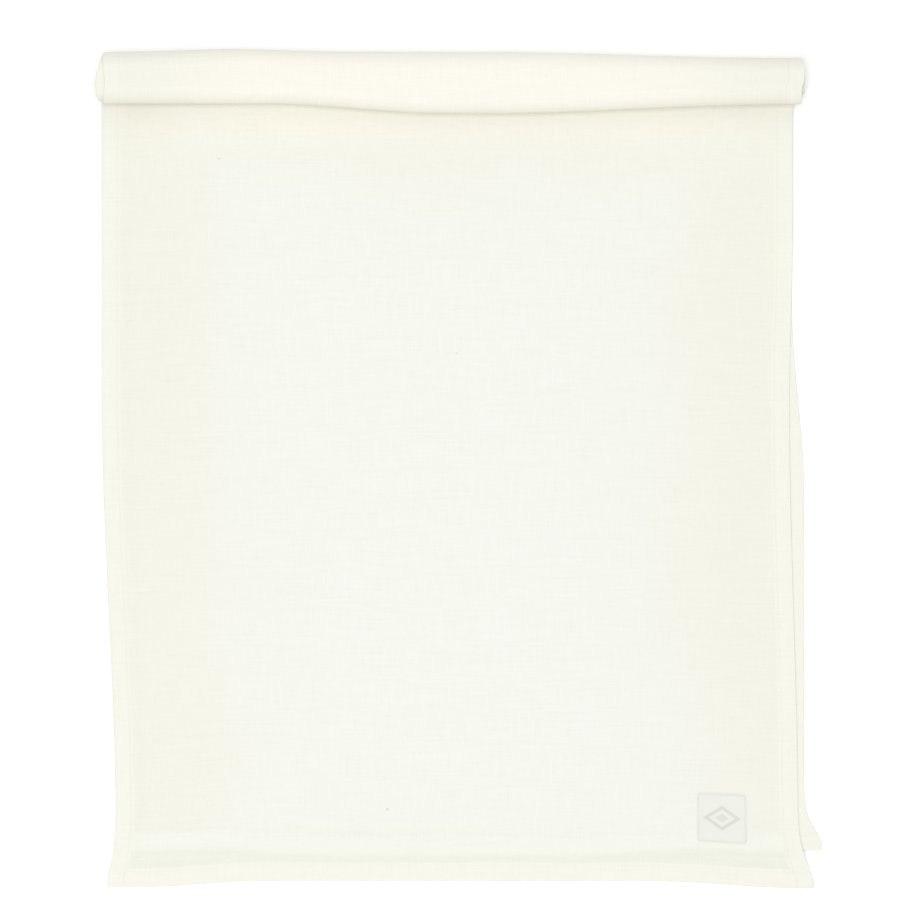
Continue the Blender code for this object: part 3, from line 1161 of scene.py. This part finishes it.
@dataclass
class Stitches:
    """Lockstitch: short rounded stitches of thread on both faces, along each hem's inner edge."""

    runner: Runner
    spacing: float = 3.0 * MM
    length: float = 2.35 * MM
    radius: float = 0.16 * MM
    margin: float = 4 * MM
    sides: int = 6
    thread: ThreadFinish = ThreadFinish("ivory thread", "thread", (0.83, 0.83, 0.765), 0.8)

    def bead(self) -> Pair:
        """One stitch: rings round a line, their radius the root of one less the cube of the place.

        Returns:
            Its points, and its faces by indices.
        """
        place = np.array([-1.0, -0.9, -0.6, 0.6, 0.9, 1.0])
        radius = self.radius * np.sqrt(np.clip(1.0 - (np.abs(place) ** 3) * 0.98, 0.0, 1.0))
        turn = np.arange(self.sides) / self.sides * 2 * math.pi
        x = np.repeat(place * self.length / 2, self.sides)
        y = np.outer(radius, np.cos(turn)).ravel()
        z = np.outer(radius, np.sin(turn)).ravel()
        return np.stack([x, y, z], axis=-1), quads(len(place), self.sides, wrap=True)

    def row(
        self, name: str, a: Array, q: Array, step: Pair, heights: list[float], look: Material
    ) -> Object:
        """A row of stitches as one mesh.

        Each stitch's frame is the cloth's own: along the row, up from its face, and across.

        Args:
            name: The piece's name.
            a: Coordinate of each stitch across the cloth.
            q: Coordinate of each stitch along it.
            step: Direction of the row in those coordinates at each stitch.
            heights: Height of each line of stitches over the middle of the cloth.
            look: Its material.

        Returns:
            The object.
        """
        lie, tiny = self.runner.lie, 0.4 * MM
        bead, faces = self.bead()
        caps = [list(range(self.sides)), list(range(len(bead) - self.sides, len(bead)))[::-1]]
        all_points, all_uv = [], []
        for e in heights:
            centre = lie.place(a, q, e)
            ahead, behind = (lie.place(a + step[0] * t, q + step[1] * t, e) for t in (tiny, -tiny))
            along = ahead - behind
            along /= np.linalg.norm(along, axis=1, keepdims=True)
            up = lie.place(a, q, e + tiny) - centre
            up -= along * np.sum(up * along, axis=1, keepdims=True)
            up /= np.linalg.norm(up, axis=1, keepdims=True)
            axes = np.stack([along, np.cross(up, along), up], axis=1)
            all_points.append(centre[:, None, :] + np.einsum("vk,nkx->nvx", bead, axes))
            all_uv.append(with_shift(a, q)[:, None, :] + bead[None, :, :2] + bead[None, :, [1, 0]] * 0.6)
        points, uv = np.concatenate(all_points), np.concatenate(all_uv)
        first = (np.arange(len(points)) * len(bead))[:, None, None]
        joined = (faces[None] + first).reshape(-1, 4)
        ends = (np.array(caps)[None] + first).reshape(-1, self.sides)
        # The rings run the other way round to the frame, so the quads are turned over.
        return make_piece(name, points, uv, joined[:, ::-1].tolist() + ends[:, ::-1].tolist(), look, 60.0)

    @property
    def heights(self) -> list[float]:
        """Heights of the stitches sunk in the cloth's face and in the hem's free face."""
        c = self.runner.lie.cloth
        return [c.face + 0.08 * MM - self.radius, c.hem_low + 0.08 * MM]

    def build(self, pieces: dict[str, list[Object]]) -> None:
        """Builds a row of stitches for every hem.

        Args:
            pieces: Each stretch's pieces, to which the rows are added.
        """
        look, slot = self.thread.make(self.runner.effects), self.thread.slot
        lie, c = self.runner.lie, self.runner.lie.cloth
        line = c.hem_width - c.stitch_inset
        for stretch in self.runner.stretches:
            low = stretch.start + (self.margin if stretch.free_start else self.spacing / 2)
            high = stretch.stop - (self.margin if stretch.free_stop else self.spacing / 2)
            count = int((high - low) / self.spacing) + 1
            q = np.linspace(low, high, count)
            for side in Side:
                a = np.full_like(q, line if side is Side.LEFT else c.width - line)
                name = f"{stretch.name}_{side.value}_stitches"
                piece = self.row(name, a, q, (0 * q, 0 * q + 1), self.heights, look)
                stretch.bend.apply(piece, slot, (f"{node}_seam_{side.value}" for node in stretch.nodes))
                pieces[stretch.name].append(piece)
        low, high = self.margin, c.width - self.margin
        a = np.linspace(low, high, int((high - low) / self.spacing) + 1)
        for leaf in Leaf:
            q = np.full_like(a, lie.inset(leaf, line))
            piece = self.row(f"{leaf.word}_end_stitches", a, q, (0 * a + 1, 0 * a), self.heights, look)
            Bend(leaf.body).apply(piece, slot, [f"{leaf.body}_seam_end"])
            pieces[leaf.body].append(piece)


@dataclass
class Label:
    """The woven label near the front leaf's right-hand free corner, stitched on all round."""

    runner: Runner
    stitches: Stitches
    size: float = 33 * MM
    corner: float = 1.5 * MM
    thickness: float = 0.24 * MM
    inset: float = 1.5 * MM
    middle_x: float = 171 * MM
    middle_y: float = -226.2 * MM
    steps: int = 40

    @property
    def middle(self) -> tuple[float, float]:
        """Cloth coordinates of the label's middle."""
        lie = self.runner.lie
        left, right = lie.leaf_edges(np.array([self.middle_y]), np.array([True]))
        share = (self.middle_x - float(left[0])) / float(right[0] - left[0])
        return share * lie.cloth.width, lie.course.end_at(self.middle_y)

    def outline(self, half: float) -> Pair:
        """A grid over the label, its corners drawn in where both coordinates are at their limit.

        Args:
            half: Half the label's size.

        Returns:
            Both coordinates of the grid's points, from the label's middle.
        """
        s = np.linspace(-1.0, 1.0, self.steps)
        u, v = np.meshgrid(s, s)
        pull = 1.0 - (self.corner * 0.6 / half) * (np.abs(u) ** 14) * (np.abs(v) ** 14)
        return u * half * pull, v * half * pull

    def build(self) -> list[Object]:
        """Builds the label and its stitches.

        Returns:
            Both pieces.
        """
        lie = self.runner.lie
        look = LabelFinish(
            "label weave", "label_weave", (0.785, 0.795, 0.742), 0.9, middle=self.middle, size=self.size
        )
        a0, q0 = self.middle
        u, v = self.outline(self.size / 2)
        a, q = a0 + u, q0 + v
        low = lie.cloth.face + 0.03 * MM
        soft = 0.12 * MM * ramp(np.maximum(np.abs(u), np.abs(v)), self.size / 2 - 0.7 * MM, self.size / 2)
        top, under = (lie.place(a, q, height) for height in (low + self.thickness - soft, low))
        patch = make_plate("woven_label", top, under, with_shift(a, q), look.make(self.runner.effects))
        Bend("front_leaf").apply(patch, look.slot, ["label_patch"])
        return [patch, self.seam(low + self.thickness)]

    def seam(self, top: float) -> Object:
        """Stitches round the label: a square path cut into equal steps.

        Args:
            top: Height of the label's face over the middle of the cloth.

        Returns:
            The piece.
        """
        thread = ThreadFinish("label thread", "label_thread", (0.75, 0.76, 0.71), 0.8)
        half = self.size / 2 - self.inset
        count = 12
        s = (np.arange(count) + 0.5) / count * 2 - 1
        side, still = s * half, np.full(count, half)
        u = np.concatenate([side, still, -side, -still])
        v = np.concatenate([-still, side, still, -side])
        zero, one = np.zeros(count), np.ones(count)
        du, dv = np.concatenate([one, zero, -one, zero]), np.concatenate([zero, one, zero, -one])
        a0, q0 = self.middle
        look = thread.make(self.runner.effects)
        piece = self.stitches.row("label_stitches", a0 + u, q0 + v, (du, dv), [top - 0.06 * MM], look)
        Bend("front_leaf").apply(piece, thread.slot, ["label_seam"])
        return piece


@dataclass(frozen=True)
class Lamp:
    """A square soft lamp that faces the origin, with its power in watts."""

    name: str
    power: float
    size: float
    place: Triple

    def build(self) -> None:
        """Sets the lamp up."""
        lamp = bpy.data.lights.new(self.name, "AREA")
        lamp.shape, lamp.size, lamp.energy = "SQUARE", self.size, self.power
        lamp.color = (1.0, 0.995, 0.975)
        made = add(self.name, lamp)
        made.location = self.place
        made.rotation_euler = Vector(self.place).to_track_quat("Z", "Y").to_euler()


@dataclass(frozen=True)
class Studio:
    """Pale floor, soft light from the lower left, and the camera straight overhead."""

    floor_colour: Triple = (0.97, 0.97, 0.97)
    floor_half: float = 4.0
    sky: float = 0.60
    lamps: tuple[Lamp, ...] = (
        Lamp("key_light", 22.0, 2.2, (-0.9, -1.9, 2.3)), Lamp("top_light", 38.0, 1.6, (0.0, 0.05, 3.2)),
        Lamp("fill_light", 8.0, 1.8, (0.2, 1.9, 1.7)),
    )
    view_width: float = 0.600
    camera_from: Triple = (0.0003, 0.00685, 2.4)

    def floor(self) -> None:
        """A wide flat floor, just under the cloth, of matt white paper."""
        mesh = bpy.data.meshes.new("floor")
        corners = [(-1, -1), (1, -1), (1, 1), (-1, 1)]
        points = [(x * self.floor_half, y * self.floor_half, -0.05 * MM) for x, y in corners]
        mesh.from_pydata(points, [], [(0, 1, 2, 3)])
        paper, look = Finish("floor paper", "floor", self.floor_colour, 0.9).start()
        look.give("Specular IOR Level", 0.0)
        mesh.materials.append(paper)
        add("floor", mesh)

    def light(self) -> None:
        """A bright even surround, with soft lamps in front, overhead and behind."""
        world = bpy.data.worlds.new("studio surround")
        bpy.context.scene.world = world
        world.use_nodes = True
        backdrop = next(n for n in world.node_tree.nodes if n.type == "BACKGROUND")
        backdrop.inputs["Color"].default_value = (0.985, 0.99, 1.0, 1.0)
        backdrop.inputs["Strength"].default_value = self.sky
        for lamp in self.lamps:
            lamp.build()

    def camera(self) -> None:
        """The camera, level and looking down, with +Y up in its view."""
        lens = bpy.data.cameras.new("camera")
        lens.type, lens.sensor_width = "PERSP", 36.0
        lens.lens = 36.0 * self.camera_from[2] / self.view_width
        made = add("camera", lens)
        made.location = self.camera_from
        bpy.context.scene.camera = made

    def build(self) -> None:
        """Sets up the floor, the light and the camera."""
        self.floor()
        self.light()
        self.camera()
        bpy.context.scene.view_settings.view_transform = "Standard"
        bpy.context.scene.view_settings.look = "None"


def main() -> None:
    """Builds the runner's pieces in order, and sets the studio up."""
    logging.basicConfig(level=logging.INFO, format="%(message)s")
    joints = {joint["name"]: joint["pos_m"] for joint in frame["joints"]}
    roll_at, lift_at = joints["roll_turn"], joints["front_leaf_lift"]
    lie = Lie(Cloth(), Course(axis_y=roll_at[1], axis_z=roll_at[2]))
    effects = Effects(lie)
    runner = Runner(lie, lift_at[1], effects)
    cloths = runner.build()
    pieces = Hems(runner).build()
    stitches = Stitches(runner)
    stitches.build(pieces)
    pieces["front_leaf"] += Label(runner, stitches).build()
    for stretch in runner.stretches:
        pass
    Studio().build()


if __name__ == "__main__":
    main()
